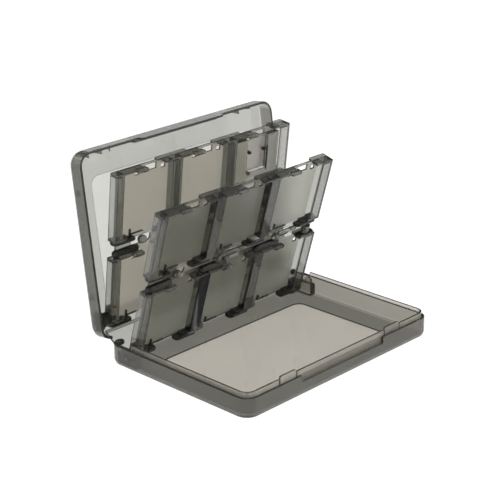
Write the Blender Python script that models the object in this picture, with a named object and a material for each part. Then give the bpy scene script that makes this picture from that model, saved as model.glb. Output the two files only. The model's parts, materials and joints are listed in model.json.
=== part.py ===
"""Hinged plastic case for handheld game cards, standing open with two pocket leaves.

The base lies flat with its underside at Z = 0 and its front towards -Y. Every moving piece is
modelled as it lies in the closed case, with its origin on its hinge axis, and is then turned
open by the empty that it is parented to. In those local frames +Z points up out of the closed
case and -Y points from the hinge to the front.
"""

import math

import bmesh
import bpy

MM = 0.001

# Sizes shared by the whole case
CASE_WIDTH = 136.0 * MM
CASE_DEPTH = 96.8 * MM
PLAN_RADIUS = 7.0 * MM
EDGE_RADIUS = 2.4 * MM
FLOOR = 1.2 * MM
RUNNING_GAP = 0.4 * MM
SEAT_GAP = 0.3 * MM
OVERRUN = 1.0 * MM
WELD = 0.00001 * MM

# Base
RIM_HEIGHT = 10.6 * MM
LIP_INSET = 1.6 * MM
LIP_THICKNESS = 1.0 * MM
LIP_RISE = 2.6 * MM
LIP_REAR_SETBACK = 15.5 * MM
COVE_RADIUS = 1.0 * MM
THUMB_HALF = 30.0 * MM
THUMB_DEPTH = 1.4 * MM
THUMB_LEDGE = 7.2 * MM
TAB_OFFSET = 3.0 * MM
TAB_WIDTH = 11.0 * MM
TAB_RISE = 1.3 * MM
TAB_SLIT = 0.8 * MM

# Lid
LID_PLATE = 1.2 * MM
LID_WALL = 1.3 * MM
LID_HEADROOM = 0.6 * MM
CORNER_RELIEF = 0.6 * MM
FLAP_HALF = 29.0 * MM
FLAP_DROP = 3.3 * MM
FLAP_THICKNESS = 1.1 * MM
FLAP_RIB_DEPTH = 3.0 * MM
HOOK_THICKNESS = 1.8 * MM
LONG_HOOK_REACH = 3.2 * MM
SHORT_HOOK_REACH = 2.2 * MM
HOOK_TOE = 0.6 * MM
PEG_RADIUS = 1.2 * MM
PEG_LENGTH = 1.3 * MM
PEG_SHARES = (0.232, 0.79)
# Start and end of each hook across the width, as shares of half the case width from the
# middle, and whether it is one of the short ones
HOOK_SHARES = (
    (-0.941, -0.846, False),
    (-0.824, -0.721, False),
    (-0.665, -0.643, False),
    (0.603, 0.706, False),
    (0.712, 0.830, True),
)

# Spine between the base and the lid
HINGE_INSET = 2.5 * MM
SPINE_THICKNESS = 1.2 * MM
SPINE_AXIS_RISE = 0.2 * MM
LID_AXIS_DROP = 1.4 * MM

# Pocket leaves
LEAF_HEIGHT = 81.8 * MM
LEAF_MID_GAP = 9.2 * MM
POCKET_DEPTH = 4.2 * MM
WEB = 1.0 * MM
REAR_PLATE_REACH = 2.3 * MM
LEAF_CLEARANCE = 1.3 * MM
SHELF = 1.0 * MM
SKIN = 1.0 * MM
LEFT_WALL = 5.0 * MM
RIGHT_WALL = 7.0 * MM
POST_WIDTH = 6.4 * MM
POCKET_COLUMNS = 3
SIDE_NOTCH = 4.6 * MM
PIVOT_BLOCK = 6.0 * MM
CATCH_REACH = 13.5 * MM
CATCH_LOBE = 4.5 * MM
GUSSET_REACH = 5.0 * MM
REAR_PLATE_OVERHANG = 7.0 * MM
REAR_TAB_OVERHANG = 4.5 * MM
FOOT_REACH = 5.3 * MM
FOOT_ROUND = 3.8 * MM
MID_SLOT_LENGTH = 13.4 * MM
MID_SLOT_HEIGHT = 4.5 * MM
SLOT_FLAT = 0.05 * MM
TOP_SLOT_HEIGHT = 3.4 * MM
SLOT_MARGIN = 1.0 * MM
HOOK_HOLE_WIDTH = 3.0 * MM
HOOK_HOLE_HEIGHT = 2.5 * MM
HOOK_HOLE_DROP = 1.6 * MM
CORNER_ROUND = 1.6 * MM

# Leaf pivots
PIVOT_DEPTH = 2.6 * MM
FRONT_PIVOT_SETBACK = 9.8 * MM
REAR_PIVOT_SETBACK = 8.0 * MM
FRONT_LEAF_START = 1.6 * MM
REAR_LEAF_START = -3.1 * MM
PIN_RADIUS = 1.1 * MM
PIN_SINK = 3.6 * MM
BRACKET_FRONT = 19.5 * MM
BRACKET_REAR = 5.5 * MM
BRACKET_LOW_HEIGHT = 7.9 * MM
BRACKET_HIGH_HEIGHT = 12.0 * MM
BRACKET_HIGH_REAR = 15.3 * MM
BRACKET_PLATE = 1.4 * MM
BRACKET_BLOCK = 3.8 * MM
EAR_THICKNESS = 1.7 * MM
EAR_RADIUS = 3.5 * MM

# Memory card carrier in the top right pocket of the rear leaf
CARRIER_DEPTH = 3.2 * MM
CARRIER_HEIGHT = 24.0 * MM
CARRIER_LEFT_BLOCK = 8.6 * MM
CARRIER_SLOT_WIDTH = 15.0 * MM
CARRIER_SLOT_DEPTH = 2.2 * MM
CARRIER_SLOT_START = 5.0 * MM

# Opening angles, in degrees
RIGHT_ANGLE = 90.0
SPINE_OPENING_ANGLE = 55.2
LID_OPENING_ANGLE = 97.0
FRONT_LEAF_LEAN_ANGLE = 16.2
REAR_LEAF_LEAN_ANGLE = 6.86
SHARP_EDGE_ANGLE = 35.0
FLAT_ANGLE = 1.0

# Fineness of round shapes
CORNER_STEPS = 5
EDGE_STEPS = 2
ROUND_SIDES = 20
ROUND_STEPS = 3

# Places that follow from the sizes above
HALF_WIDTH = CASE_WIDTH / 2
BASE_INNER_INSET = LIP_INSET + LIP_THICKNESS
BASE_INNER_HALF = HALF_WIDTH - BASE_INNER_INSET
LIP_HEIGHT = RIM_HEIGHT + LIP_RISE
REAR_Y = CASE_DEPTH / 2
LEAF_DEPTH = POCKET_DEPTH + WEB
LEAF_STACK = LEAF_DEPTH + REAR_PLATE_REACH
FRONT_AXIS_Z = FLOOR + RUNNING_GAP + PIVOT_DEPTH
REAR_AXIS_Z = FLOOR + RUNNING_GAP + LEAF_STACK + LEAF_CLEARANCE + PIVOT_DEPTH
CLOSED_HEIGHT = REAR_AXIS_Z - PIVOT_DEPTH + LEAF_STACK + LID_HEADROOM + LID_PLATE
SPINE_AXIS_Z = FLOOR + SPINE_AXIS_RISE
LID_AXIS_Z = CLOSED_HEIGHT - LID_AXIS_DROP
SPINE_SPAN = LID_AXIS_Z - SPINE_AXIS_Z
PIN_HOLE_RADIUS = PIN_RADIUS + SEAT_GAP
BRACKET_INNER = BASE_INNER_HALF - BRACKET_BLOCK
LEAF_HALF = BRACKET_INNER - RUNNING_GAP
REAR_OPENING_HALF = HALF_WIDTH - PLAN_RADIUS


def clear_scene():
    """Remove every object of the start-up scene."""
    for item in list(bpy.data.objects):
        bpy.data.objects.remove(item, do_unlink=True)


def make_collection(name, parent=None):
    """Make a collection under the scene or under another collection."""
    group = bpy.data.collections.new(name)
    home = parent or bpy.context.scene.collection
    home.children.link(group)
    return group


clear_scene()
PARTS = make_collection("game_card_case")
CUTTERS = make_collection("cutters")


def plastic(name, colour, roughness):
    """Make a tinted plastic with one colour and roughness."""
    material = bpy.data.materials.new(name)
    material.use_nodes = True
    shader = material.node_tree.nodes["Principled BSDF"]
    shader.inputs["Base Color"].default_value = (*colour, 1.0)
    shader.inputs["Roughness"].default_value = roughness
    shader.inputs["Metallic"].default_value = 0.0
    material.diffuse_color = (*colour, 1.0)
    return material


def add_empty(name, location, turn_degrees, parent=None):
    """Add an empty on a hinge axis, turned about X by an angle in degrees."""
    empty = bpy.data.objects.new(name, None)
    empty.location = location
    empty.rotation_euler = (math.radians(turn_degrees), 0.0, 0.0)
    empty.parent = parent
    PARTS.objects.link(empty)
    return empty


def object_from_bmesh(name, shape, parent):
    """Turn a bmesh into an object among the cutters, from where a part is moved later."""
    mesh = bpy.data.meshes.new(name)
    shape.normal_update()
    bmesh.ops.recalc_face_normals(shape, faces=shape.faces)
    shape.to_mesh(mesh)
    shape.free()
    item = bpy.data.objects.new(name, mesh)
    item.parent = parent
    CUTTERS.objects.link(item)
    return item


def box(name, parent, x, y, z, round_axis=None, radius=CORNER_ROUND, front_only=False):
    """Make a box from low and high ends, with the edges along one axis rounded if asked.

    With front_only, just the rounded edges on the box's low Z side are made, which is the open
    side of a leaf's pockets.
    """
    ends = (sorted(x), sorted(y), sorted(z))
    shape = bmesh.new()
    bmesh.ops.create_cube(shape, size=1.0)
    for vertex in shape.verts:
        for axis, (low, high) in enumerate(ends):
            vertex.co[axis] = low if vertex.co[axis] < 0 else high
    if round_axis is not None:
        edges = [
            edge for edge in shape.edges
            if is_along(edge, round_axis)
            and not (front_only and max(vertex.co.z for vertex in edge.verts) > ends[2][0])
        ]
        bmesh.ops.bevel(shape, geom=edges, offset=radius, segments=ROUND_STEPS,
                        profile=0.5, affect="EDGES")
    return object_from_bmesh(name, shape, parent)


def wedge(name, parent, x, y, z, low_x_end):
    """Make a box whose high Y face slopes, ending at another Y on its low X side."""
    low, high = sorted(x)
    far = max(y)
    wedge_box = box(name, parent, x, y, z)
    for vertex in wedge_box.data.vertices:
        if vertex.co.x < (low + high) / 2 and vertex.co.y > (far + low_x_end) / 2:
            vertex.co.y = low_x_end
    return wedge_box


def is_along(edge, axis):
    """Tell whether an edge runs along an axis."""
    step = edge.verts[1].co - edge.verts[0].co
    return abs(step[axis]) > 0.999 * step.length


def cylinder(name, parent, radius, x, y, z):
    """Make a round bar along X, from one X to another, centred at y and z."""
    low, high = sorted(x)
    shape = bmesh.new()
    bmesh.ops.create_cone(shape, cap_ends=True, segments=ROUND_SIDES, radius1=radius,
                          radius2=radius, depth=high - low)
    for vertex in shape.verts:
        across, up, along = vertex.co
        vertex.co = ((low + high) / 2 + along, y + across, z + up)
    return object_from_bmesh(name, shape, parent)


def corner_arc(centre_x, centre_y, radius, start_degrees):
    """Give the points of a quarter circle, counter-clockwise."""
    points = []
    for step in range(CORNER_STEPS + 1):
        angle = math.radians(start_degrees + RIGHT_ANGLE * step / CORNER_STEPS)
        points.append((centre_x + radius * math.cos(angle), centre_y + radius * math.sin(angle)))
    return points


def rounded_slab(name, parent, inset, z, rear_y, edge_radius=0.0, round_top=False):
    """Make a slab with the case's outline drawn in by an inset, and one face's edge rounded."""
    half = HALF_WIDTH - inset
    rear = rear_y - inset
    front = rear_y - CASE_DEPTH + inset
    radius = PLAN_RADIUS - inset
    outline = (
        corner_arc(half - radius, rear - radius, radius, 0.0)
        + corner_arc(radius - half, rear - radius, radius, RIGHT_ANGLE)
        + corner_arc(radius - half, front + radius, radius, 2 * RIGHT_ANGLE)
        + corner_arc(half - radius, front + radius, radius, 3 * RIGHT_ANGLE)
    )
    curve = bpy.data.curves.new(name + "_outline", "CURVE")
    curve.dimensions = "2D"
    curve.fill_mode = "BOTH"
    curve.extrude = (z[1] - z[0]) / 2
    spline = curve.splines.new("POLY")
    spline.points.add(len(outline) - 1)
    for point, (x_place, y_place) in zip(spline.points, outline):
        point.co = (x_place, y_place, 0.0, 1.0)
    spline.use_cyclic_u = True
    drawn = bpy.data.objects.new(name + "_outline", curve)
    CUTTERS.objects.link(drawn)
    bpy.context.view_layer.update()
    evaluated = drawn.evaluated_get(bpy.context.evaluated_depsgraph_get())
    mesh = bpy.data.meshes.new_from_object(evaluated)
    bpy.data.objects.remove(drawn, do_unlink=True)
    shape = bmesh.new()
    shape.from_mesh(mesh)
    bpy.data.meshes.remove(mesh)
    bmesh.ops.remove_doubles(shape, verts=shape.verts, dist=WELD)
    for vertex in shape.verts:
        vertex.co.z += (z[0] + z[1]) / 2
    if edge_radius > 0:
        round_face_edge(shape, z[1] if round_top else z[0], edge_radius)
    return object_from_bmesh(name, shape, parent)


def round_face_edge(shape, level, radius):
    """Round the edge loop round the flat face at one level."""
    tolerance = radius / 100
    bmesh.ops.dissolve_limit(shape, angle_limit=math.radians(FLAT_ANGLE), verts=shape.verts,
                             edges=shape.edges)
    edges = [
        edge for edge in shape.edges
        if all(abs(vertex.co.z - level) < tolerance for vertex in edge.verts)
    ]
    bmesh.ops.bevel(shape, geom=edges, offset=radius, segments=EDGE_STEPS, profile=0.5,
                    affect="EDGES")


def combine(target, tools, operation, label):
    """Join the tools to the target, or cut them from it, in one Boolean modifier."""
    group = make_collection(f"{target.name}_{label}", CUTTERS)
    for tool in tools:
        CUTTERS.objects.unlink(tool)
        group.objects.link(tool)
        tool.hide_render = True
        tool.display_type = "WIRE"
    modifier = target.modifiers.new(label, "BOOLEAN")
    modifier.operation = operation
    modifier.operand_type = "COLLECTION"
    modifier.collection = group
    modifier.solver = "EXACT"


def finish_part(item, colour, roughness, smooth=False):
    """Move a finished piece into the parts collection and give it its own plastic."""
    CUTTERS.objects.unlink(item)
    PARTS.objects.link(item)
    item.data.materials.append(plastic(item.name + "_plastic", colour, roughness))
    if smooth:
        item.data.shade_smooth()
        item.data.set_sharp_from_angle(angle=math.radians(SHARP_EDGE_ANGLE))
    return item


def build_base():
    """Build the tray: floor, wall, inner lip, thumb recess, lip tabs and leaf brackets."""
    base = rounded_slab("base_tray", None, 0.0, (0.0, RIM_HEIGHT), REAR_Y, EDGE_RADIUS)
    lip = rounded_slab("base_lip", None, LIP_INSET, (FLOOR, LIP_HEIGHT), REAR_Y)
    combine(base, [lip] + base_tabs(), "UNION", "lip")
    rear_opening = box("base_rear_opening", None,
                       (-REAR_OPENING_HALF, REAR_OPENING_HALF),
                       (REAR_Y - PLAN_RADIUS, REAR_Y + OVERRUN),
                       (FLOOR, LIP_HEIGHT + OVERRUN))
    cavity = rounded_slab("base_cavity", None, BASE_INNER_INSET,
                          (FLOOR, LIP_HEIGHT + TAB_RISE + OVERRUN), REAR_Y, COVE_RADIUS)
    lip_end = box("base_lip_end", None,
                  (-HALF_WIDTH - OVERRUN, HALF_WIDTH + OVERRUN),
                  (REAR_Y - LIP_REAR_SETBACK, REAR_Y + OVERRUN),
                  (RIM_HEIGHT, LIP_HEIGHT + OVERRUN))
    thumb = box("base_thumb_recess", None, (-THUMB_HALF, THUMB_HALF),
                (REAR_Y - CASE_DEPTH - OVERRUN, REAR_Y - CASE_DEPTH + THUMB_DEPTH),
                (THUMB_LEDGE, LIP_HEIGHT + OVERRUN))
    combine(base, [rear_opening, cavity, lip_end, thumb] + base_slits(), "DIFFERENCE", "hollow")
    combine(base, base_brackets(), "UNION", "brackets")
    combine(base, pivot_holes("base_pivot_hole", None,
                              (LEAF_HALF, BASE_INNER_HALF - SEAT_GAP),
                              REAR_Y - FRONT_PIVOT_SETBACK, FRONT_AXIS_Z), "DIFFERENCE", "pivots")
    return finish_part(base, (0.20, 0.20, 0.18), 0.3)


def tab_ends(side):
    """Give the inner and outer X of the raised lip tab on one side of the thumb recess."""
    inner = side * (THUMB_HALF + TAB_OFFSET)
    return inner, inner + side * TAB_WIDTH


def base_tabs():
    """Build the two raised tabs of the front lip, beside the thumb recess."""
    front = REAR_Y - CASE_DEPTH
    tabs = []
    for side in (-1, 1):
        tabs.append(box(f"base_tab_{side}", None, tab_ends(side),
                        (front + LIP_INSET, front + BASE_INNER_INSET + OVERRUN),
                        (RIM_HEIGHT, LIP_HEIGHT + TAB_RISE), round_axis=1, radius=TAB_RISE / 2))
    return tabs


def base_slits():
    """Build the narrow cutters that free the ends of each lip tab."""
    front = REAR_Y - CASE_DEPTH
    slits = []
    for side in (-1, 1):
        inner, outer = tab_ends(side)
        for index, edge in enumerate((inner - side * TAB_SLIT, outer)):
            slits.append(box(f"base_slit_{side}_{index}", None, (edge, edge + side * TAB_SLIT),
                             (front + THUMB_DEPTH, front + BASE_INNER_INSET + OVERRUN),
                             (RIM_HEIGHT, LIP_HEIGHT + OVERRUN)))
    return slits


def base_brackets():
    """Build the low block and the taller front plate that hold the front leaf on each side."""
    brackets = []
    for side in (-1, 1):
        brackets.append(box(f"base_bracket_{side}", None,
                            (side * BRACKET_INNER, side * (BASE_INNER_HALF + LIP_THICKNESS)),
                            (REAR_Y - BRACKET_FRONT, REAR_Y - BRACKET_REAR),
                            (FLOOR / 2, BRACKET_LOW_HEIGHT), round_axis=0, radius=COVE_RADIUS))
        brackets.append(box(f"base_bracket_plate_{side}", None,
                            (side * BRACKET_INNER, side * (BRACKET_INNER + BRACKET_PLATE)),
                            (REAR_Y - BRACKET_FRONT, REAR_Y - BRACKET_HIGH_REAR),
                            (FRONT_AXIS_Z, BRACKET_HIGH_HEIGHT), round_axis=0))
    return brackets


def pivot_holes(name, parent, x, y, z):
    """Build the mirrored pair of cutters for a pair of pivot pins."""
    low, high = x
    return [
        cylinder(f"{name}_{side}", parent, PIN_HOLE_RADIUS, (side * low, side * high), y, z)
        for side in (-1, 1)
    ]


def build_spine(axis):
    """Build the back strip between the base and the lid."""
    spine = box("spine", axis,
                (SEAT_GAP - REAR_OPENING_HALF, REAR_OPENING_HALF - SEAT_GAP),
                (-SPINE_THICKNESS, 0.0), (SEAT_GAP, SPINE_SPAN - SEAT_GAP))
    return finish_part(spine, (0.22, 0.22, 0.20), 0.3)


def build_lid(axis):
    """Build the lid: plate, wall, ribbed thumb flap, snap hooks, side pegs and leaf ears."""
    rim = RIM_HEIGHT + SEAT_GAP - LID_AXIS_Z
    top = CLOSED_HEIGHT - LID_AXIS_Z
    plate = top - LID_PLATE
    front = HINGE_INSET - CASE_DEPTH
    lid = rounded_slab("lid_shell", axis, 0.0, (rim, top), HINGE_INSET, EDGE_RADIUS,
                       round_top=True)
    cavity = rounded_slab("lid_cavity", axis, LID_WALL, (rim - OVERRUN, plate), HINGE_INSET)
    rear_opening = box("lid_rear_opening", axis,
                       (-REAR_OPENING_HALF, REAR_OPENING_HALF),
                       (HINGE_INSET - PLAN_RADIUS, HINGE_INSET + OVERRUN),
                       (rim - OVERRUN, plate))
    corner_relief = box("lid_corner_relief", axis,
                        (-HALF_WIDTH - OVERRUN, HALF_WIDTH + OVERRUN),
                        (HINGE_INSET - PLAN_RADIUS / 2, HINGE_INSET + OVERRUN),
                        (rim - OVERRUN, rim + CORNER_RELIEF))
    combine(lid, [cavity, rear_opening, corner_relief], "DIFFERENCE", "hollow")
    flap = box("lid_flap", axis, (-FLAP_HALF, FLAP_HALF), (front, front + FLAP_THICKNESS),
               (rim - FLAP_DROP, rim + LID_WALL), round_axis=1)
    rib = box("lid_flap_rib", axis, (-FLAP_HALF, FLAP_HALF),
              (front + LID_WALL / 2, front + FLAP_RIB_DEPTH),
              (LIP_HEIGHT + RUNNING_GAP - LID_AXIS_Z, plate + LID_PLATE / 2))
    combine(lid, [flap, rib] + lid_hooks(axis, plate) + lid_pegs(axis, plate) + lid_ears(axis, plate),
            "UNION", "fittings")
    holes = pivot_holes("lid_pivot_hole", axis, (LEAF_HALF, BASE_INNER_HALF + OVERRUN),
                        -REAR_PIVOT_SETBACK, REAR_AXIS_Z - LID_AXIS_Z)
    combine(lid, holes, "DIFFERENCE", "pivots")
    return finish_part(lid, (0.26, 0.26, 0.24), 0.3)


def hook_levels(plate):
    """Give the height range of the hooks, between the rear leaf's web and the lid plate."""
    web_back = REAR_AXIS_Z - PIVOT_DEPTH + LEAF_DEPTH - LID_AXIS_Z
    low = web_back + RUNNING_GAP
    return low, min(low + HOOK_THICKNESS, plate)


def lid_hooks(axis, plate):
    """Build the snap hooks that reach back from the lid's front wall."""
    front = HINGE_INSET - CASE_DEPTH + LID_WALL
    hooks = []
    for index, (start_share, end_share, is_short) in enumerate(HOOK_SHARES):
        reach = SHORT_HOOK_REACH if is_short else LONG_HOOK_REACH
        hooks.append(wedge(f"lid_hook_{index}", axis,
                           (start_share * HALF_WIDTH, end_share * HALF_WIDTH),
                           (front - LID_WALL / 2, front + reach), hook_levels(plate),
                           front + HOOK_TOE))
    return hooks


def lid_pegs(axis, plate):
    """Build the small round pegs on the lid's left side wall."""
    wall = HALF_WIDTH - LID_WALL
    level = sum(hook_levels(plate)) / 2
    return [
        cylinder(f"lid_peg_{index}", axis, PEG_RADIUS, (-wall - LID_WALL / 2, PEG_LENGTH - wall),
                 HINGE_INSET - share * CASE_DEPTH, level)
        for index, share in enumerate(PEG_SHARES)
    ]


def lid_ears(axis, plate):
    """Build the two ears that hang from the lid plate and carry the rear leaf's pins."""
    outer = BASE_INNER_HALF - SEAT_GAP
    centre_z = REAR_AXIS_Z - LID_AXIS_Z
    ears = []
    for side in (-1, 1):
        x_ends = (side * (outer - EAR_THICKNESS), side * outer)
        ears.append(box(f"lid_ear_{side}", axis, x_ends,
                        (-REAR_PIVOT_SETBACK - EAR_RADIUS, -REAR_PIVOT_SETBACK + EAR_RADIUS),
                        (centre_z, plate + LID_PLATE / 2)))
        ears.append(cylinder(f"lid_ear_end_{side}", axis, EAR_RADIUS, x_ends,
                             -REAR_PIVOT_SETBACK, centre_z))
    return ears


def row_ends(start):
    """Give the low and high ends of the two rows of pockets, measured from the pivot."""
    row = (LEAF_HEIGHT - LEAF_MID_GAP) / 2
    return (start, start + row), (start + row + LEAF_MID_GAP, start + LEAF_HEIGHT)


def wall_ends():
    """Give the left and right X of the side walls and of the posts, from left to right."""
    walls = [(-LEAF_HALF, -LEAF_HALF + LEFT_WALL)]
    posts = POCKET_COLUMNS - 1
    room = 2 * LEAF_HALF - LEFT_WALL - RIGHT_WALL - posts * POST_WIDTH
    for _ in range(posts):
        post_left = walls[-1][1] + room / POCKET_COLUMNS
        walls.append((post_left, post_left + POST_WIDTH))
    walls.append((LEAF_HALF - RIGHT_WALL, LEAF_HALF))
    return walls


def build_leaf(name, axis, start, has_trunnion_ears):
    """Build a leaf: web, side walls, posts, catches, feet and slots, in two rows of three."""
    front = -PIVOT_DEPTH
    web_front = front + POCKET_DEPTH
    back = front + LEAF_DEPTH
    leaf = box(name, axis, (-LEAF_HALF, LEAF_HALF), (-start, -start - LEAF_HEIGHT),
               (web_front, back))
    solids = []
    for row, (low, high) in enumerate(row_ends(start)):
        for column, (left, right) in enumerate(wall_ends()):
            label = f"{name}_wall_{row}_{column}"
            solids.append(box(label, axis, (left, right), (-low, -high), (front, web_front + WEB / 2)))
        solids += leaf_catches(name, axis, row, high)
        solids += leaf_feet(name, axis, row, low)
    if has_trunnion_ears:
        solids += trunnion_ears(name, axis, start)
    combine(leaf, solids, "UNION", "walls")
    cuts = leaf_slots(name, axis, start) + leaf_hollows(name, axis, start)
    cuts.append(leaf_side_notch(name, axis, start))
    cuts += pivot_holes(name + "_pivot_hole", axis,
                        (LEAF_HALF - PIN_SINK - SEAT_GAP, LEAF_HALF + OVERRUN), 0.0, 0.0)
    combine(leaf, cuts, "DIFFERENCE", "slots")
    return leaf


def leaf_catches(name, axis, row, high):
    """Build the flat caps on a row's posts, with a rounded lobe at the tip of each long one."""
    front = -PIVOT_DEPTH
    back = front + LEAF_DEPTH
    catches = []
    walls = wall_ends()
    last = len(walls) - 1
    for column, (left, right) in enumerate(walls):
        label = f"{name}_catch_{row}_{column}"
        cap_left = left if column == 0 else left - GUSSET_REACH
        cap_right = right if column == last else right + CATCH_REACH
        catches.append(box(label, axis, (cap_left, cap_right), (-high, -high + SHELF),
                           (front, back - WEB / 2)))
        if column < last:
            catches.append(box(label + "_lobe", axis,
                               (cap_right - CATCH_LOBE, cap_right + CATCH_LOBE / 2),
                               (-high + SHELF / 2, -high + 2 * SHELF + SHELF / 2),
                               (front, front + PIVOT_DEPTH), round_axis=2, radius=SHELF / 2))
        if column > 0:
            plate_left = left - (REAR_TAB_OVERHANG if column == last else REAR_PLATE_OVERHANG)
            plate_right = right if column == last else right + REAR_PLATE_OVERHANG
            catches.append(box(label + "_rear", axis, (plate_left, plate_right),
                               (-high, -high + SHELF), (back - WEB / 2, back + REAR_PLATE_REACH),
                               round_axis=1, radius=SHELF))
    return catches


def leaf_feet(name, axis, row, low):
    """Build the rounded feet under a row's posts, on which the cards stand."""
    front = -PIVOT_DEPTH
    web = front + POCKET_DEPTH + WEB / 2
    feet = []
    walls = wall_ends()
    for column, (left, right) in enumerate(walls):
        foot_left = left if column == 0 else left - FOOT_REACH
        foot_right = right if column == len(walls) - 1 else right + FOOT_REACH
        feet.append(box(f"{name}_foot_{row}_{column}", axis, (foot_left, foot_right),
                        (-low, -low - SHELF), (front, web), round_axis=1, radius=FOOT_ROUND,
                        front_only=True))
    return feet


def trunnion_ears(name, axis, start):
    """Build the ends of the side walls that reach down to a pivot below the leaf's web."""
    ears = []
    for side in (-1, 1):
        x_ends = (side * (LEAF_HALF - LEFT_WALL), side * LEAF_HALF)
        ears.append(cylinder(f"{name}_ear_end_{side}", axis, PIVOT_DEPTH, x_ends, 0.0, 0.0))
        ears.append(box(f"{name}_ear_{side}", axis, x_ends, (0.0, -start - SHELF),
                        (-PIVOT_DEPTH, PIVOT_DEPTH)))
    return ears


def leaf_slots(name, axis, start):
    """Build the cutters of the slots through the web, round-ended at mid-height."""
    front = -PIVOT_DEPTH
    web = (front + POCKET_DEPTH - WEB, front + LEAF_STACK + OVERRUN)
    middle = start + LEAF_HEIGHT / 2
    walls = wall_ends()
    slots = []
    for column in range(len(walls) - 1):
        pocket_left = walls[column][1]
        pocket_right = walls[column + 1][0]
        centre = (pocket_left + pocket_right) / 2
        slots.append(box(f"{name}_mid_slot_{column}", axis,
                         (centre - MID_SLOT_LENGTH / 2, centre + MID_SLOT_LENGTH / 2),
                         (-middle - MID_SLOT_HEIGHT / 2, -middle + MID_SLOT_HEIGHT / 2), web,
                         round_axis=2, radius=MID_SLOT_HEIGHT / 2 - SLOT_FLAT))
        for row, (_, high) in enumerate(row_ends(start)):
            top = high - HOOK_HOLE_DROP - SHELF
            for index, hole_left in enumerate((pocket_left + CATCH_REACH - HOOK_HOLE_WIDTH,
                                               pocket_right - GUSSET_REACH)):
                slots.append(box(f"{name}_hole_{row}_{column}_{index}", axis,
                                 (hole_left, hole_left + HOOK_HOLE_WIDTH),
                                 (-top, HOOK_HOLE_HEIGHT - top), web))
        crest = start + LEAF_HEIGHT - SHELF
        slots.append(box(f"{name}_top_slot_{column}", axis,
                         (pocket_left + CATCH_REACH + SLOT_MARGIN + CATCH_LOBE / 2,
                          pocket_right - REAR_PLATE_OVERHANG - SLOT_MARGIN),
                         (-crest, TOP_SLOT_HEIGHT - crest), web))
    return slots


def leaf_hollows(name, axis, start):
    """Build the cutters that core the side walls and posts from the back, to a thin skin."""
    front = -PIVOT_DEPTH
    walls = wall_ends()
    hollows = []
    for row, (low, high) in enumerate(row_ends(start)):
        for column, (left, right) in enumerate(walls):
            is_side = column in (0, len(walls) - 1)
            near = max(low + SKIN, PIVOT_BLOCK) if is_side and row == 0 else low + SKIN
            hollows.append(box(f"{name}_hollow_{row}_{column}", axis,
                               (left + SKIN, right - SKIN), (-near, SHELF + SKIN - high),
                               (front + SKIN, front + LEAF_DEPTH + OVERRUN)))
    return hollows


def leaf_side_notch(name, axis, start):
    """Build the rounded cutter that parts the left side wall at mid-height."""
    middle = start + LEAF_HEIGHT / 2
    return box(f"{name}_side_notch", axis, (-LEAF_HALF - 2 * CORNER_ROUND, SIDE_NOTCH - LEAF_HALF),
               (-middle - LEAF_MID_GAP / 2, -middle + LEAF_MID_GAP / 2),
               (-PIVOT_DEPTH - OVERRUN, LEAF_STACK), round_axis=2)


def build_carrier(axis):
    """Build the insert that fills the rear leaf's top right pocket and holds a memory card."""
    walls = wall_ends()
    left = walls[2][1] + SEAT_GAP
    right = walls[3][0] - SEAT_GAP
    low, high = row_ends(REAR_LEAF_START)[1]
    crest = high - SHELF * 2 - SHELF / 2 - SEAT_GAP
    base = crest - CARRIER_HEIGHT
    back = POCKET_DEPTH - PIVOT_DEPTH - SEAT_GAP
    carrier = box("memory_card_carrier", axis, (left, right), (-base, -crest),
                  (back - CARRIER_DEPTH, back))
    slot_left = left + CARRIER_LEFT_BLOCK
    slot = box("carrier_slot", axis, (slot_left, slot_left + CARRIER_SLOT_WIDTH),
               (-base - CARRIER_SLOT_START, -crest - OVERRUN),
               (back - CARRIER_DEPTH - OVERRUN, back - CARRIER_DEPTH + CARRIER_SLOT_DEPTH))
    combine(carrier, [slot], "DIFFERENCE", "slot")
    return finish_part(carrier, (0.42, 0.40, 0.36), 0.35)


def build_pins(prefix, axis, outer_end):
    """Build the left and right pivot pins of a leaf."""
    for label, side in (("left", -1), ("right", 1)):
        pin = cylinder(f"{prefix}_pin_{label}", axis, PIN_RADIUS,
                       (side * (LEAF_HALF - PIN_SINK), side * outer_end), 0.0, 0.0)
        finish_part(pin, (0.10, 0.10, 0.09), 0.3, smooth=True)


def build_case():
    """Build the whole case with every hinge turned open."""
    spine_axis = add_empty("spine_axis", (0.0, REAR_Y - HINGE_INSET, SPINE_AXIS_Z),
                           -SPINE_OPENING_ANGLE)
    lid_axis = add_empty("lid_axis", (0.0, 0.0, SPINE_SPAN),
                         SPINE_OPENING_ANGLE - LID_OPENING_ANGLE, spine_axis)
    rear_leaf_axis = add_empty("rear_leaf_axis",
                               (0.0, -REAR_PIVOT_SETBACK, REAR_AXIS_Z - LID_AXIS_Z),
                               LID_OPENING_ANGLE - RIGHT_ANGLE + REAR_LEAF_LEAN_ANGLE, lid_axis)
    front_leaf_axis = add_empty("front_leaf_axis",
                                (0.0, REAR_Y - FRONT_PIVOT_SETBACK, FRONT_AXIS_Z),
                                FRONT_LEAF_LEAN_ANGLE - RIGHT_ANGLE)
    build_base()
    build_spine(spine_axis)
    build_lid(lid_axis)
    front_leaf = build_leaf("front_leaf", front_leaf_axis, FRONT_LEAF_START, True)
    finish_part(front_leaf, (0.30, 0.30, 0.28), 0.3)
    rear_leaf = build_leaf("rear_leaf", rear_leaf_axis, REAR_LEAF_START, False)
    finish_part(rear_leaf, (0.34, 0.33, 0.30), 0.3)
    build_carrier(rear_leaf_axis)
    build_pins("front_leaf", front_leaf_axis, BASE_INNER_HALF - 2 * SEAT_GAP)
    build_pins("rear_leaf", rear_leaf_axis, BASE_INNER_HALF - SEAT_GAP)


build_case()
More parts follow.
